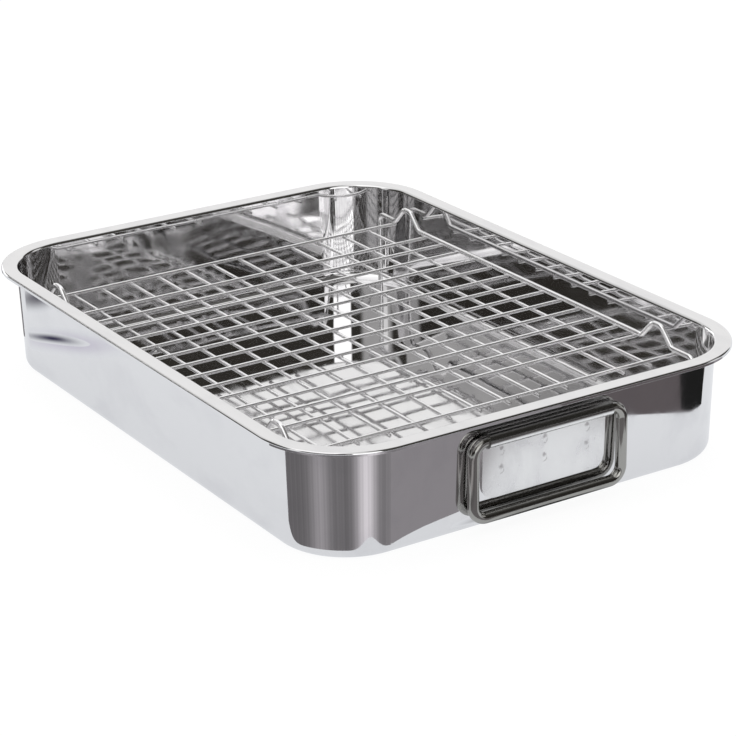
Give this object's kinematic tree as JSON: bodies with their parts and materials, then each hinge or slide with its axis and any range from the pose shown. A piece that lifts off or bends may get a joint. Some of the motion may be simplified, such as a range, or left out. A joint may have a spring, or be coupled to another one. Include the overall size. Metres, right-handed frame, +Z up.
{
  "type": "roasting pan with rack",
  "caption": "Rectangular polished steel roasting pan with a flat rim, hinged drop handles on rolled brackets at both ends, and a lift-out wire rack that stands on legs.",
  "frame": {"origin": "middle of the underside, on the surface that the pan stands on", "axes": "+X along the pan's length towards one handle, +Y across the pan, +Z up"},
  "size_m": [0.38, 0.282, 0.062],
  "materials": {
    "pan_steel": "mirror-polished stainless steel sheet",
    "handle_steel": "polished stainless steel rod",
    "rack_steel": "bright drawn steel wire"
  },
  "bodies": {
    "pan": {"pan_body": "pan_steel", "handle_bracket_right": "pan_steel", "handle_bracket_left": "pan_steel"},
    "handle_right": {"handle_right": "handle_steel"},
    "handle_left": {"handle_left": "handle_steel"},
    "rack": {"rack_rail_front": "rack_steel", "rack_rail_back": "rack_steel", "rack_end_wire_left": "rack_steel", "rack_end_wire_right": "rack_steel", "rack_cross_wire_01": "rack_steel", "rack_cross_wire_02": "rack_steel", "rack_cross_wire_03": "rack_steel", "rack_cross_wire_04": "rack_steel", "rack_cross_wire_05": "rack_steel", "rack_cross_wire_06": "rack_steel", "rack_cross_wire_07": "rack_steel", "rack_cross_wire_08": "rack_steel", "rack_cross_wire_09": "rack_steel", "rack_cross_wire_10": "rack_steel", "rack_cross_wire_11": "rack_steel", "rack_cross_wire_12": "rack_steel", "rack_cross_wire_13": "rack_steel", "rack_long_wire_01": "rack_steel", "rack_long_wire_02": "rack_steel", "rack_long_wire_03": "rack_steel", "rack_long_wire_04": "rack_steel", "rack_long_wire_05": "rack_steel", "rack_long_wire_06": "rack_steel", "rack_long_wire_07": "rack_steel", "rack_long_wire_08": "rack_steel", "rack_long_wire_09": "rack_steel", "rack_long_wire_10": "rack_steel", "rack_long_wire_11": "rack_steel", "rack_long_wire_12": "rack_steel"}
  },
  "joints": [
    {"name": "handle_right_hinge", "type": "hinge", "parent": "pan", "child": "handle_right", "pos_m": [0.18502, 0, 0.04952], "axis": [0, -1, 0], "range_deg": [0, 130]},
    {"name": "handle_left_hinge", "type": "hinge", "parent": "pan", "child": "handle_left", "pos_m": [-0.18502, 0, 0.04952], "axis": [0, 1, 0], "range_deg": [0, 130]},
    {"name": "rack_lift", "type": "slide", "parent": "pan", "child": "rack", "axis": [0, 0, 1], "range_m": [0, 0.12]}
  ]
}
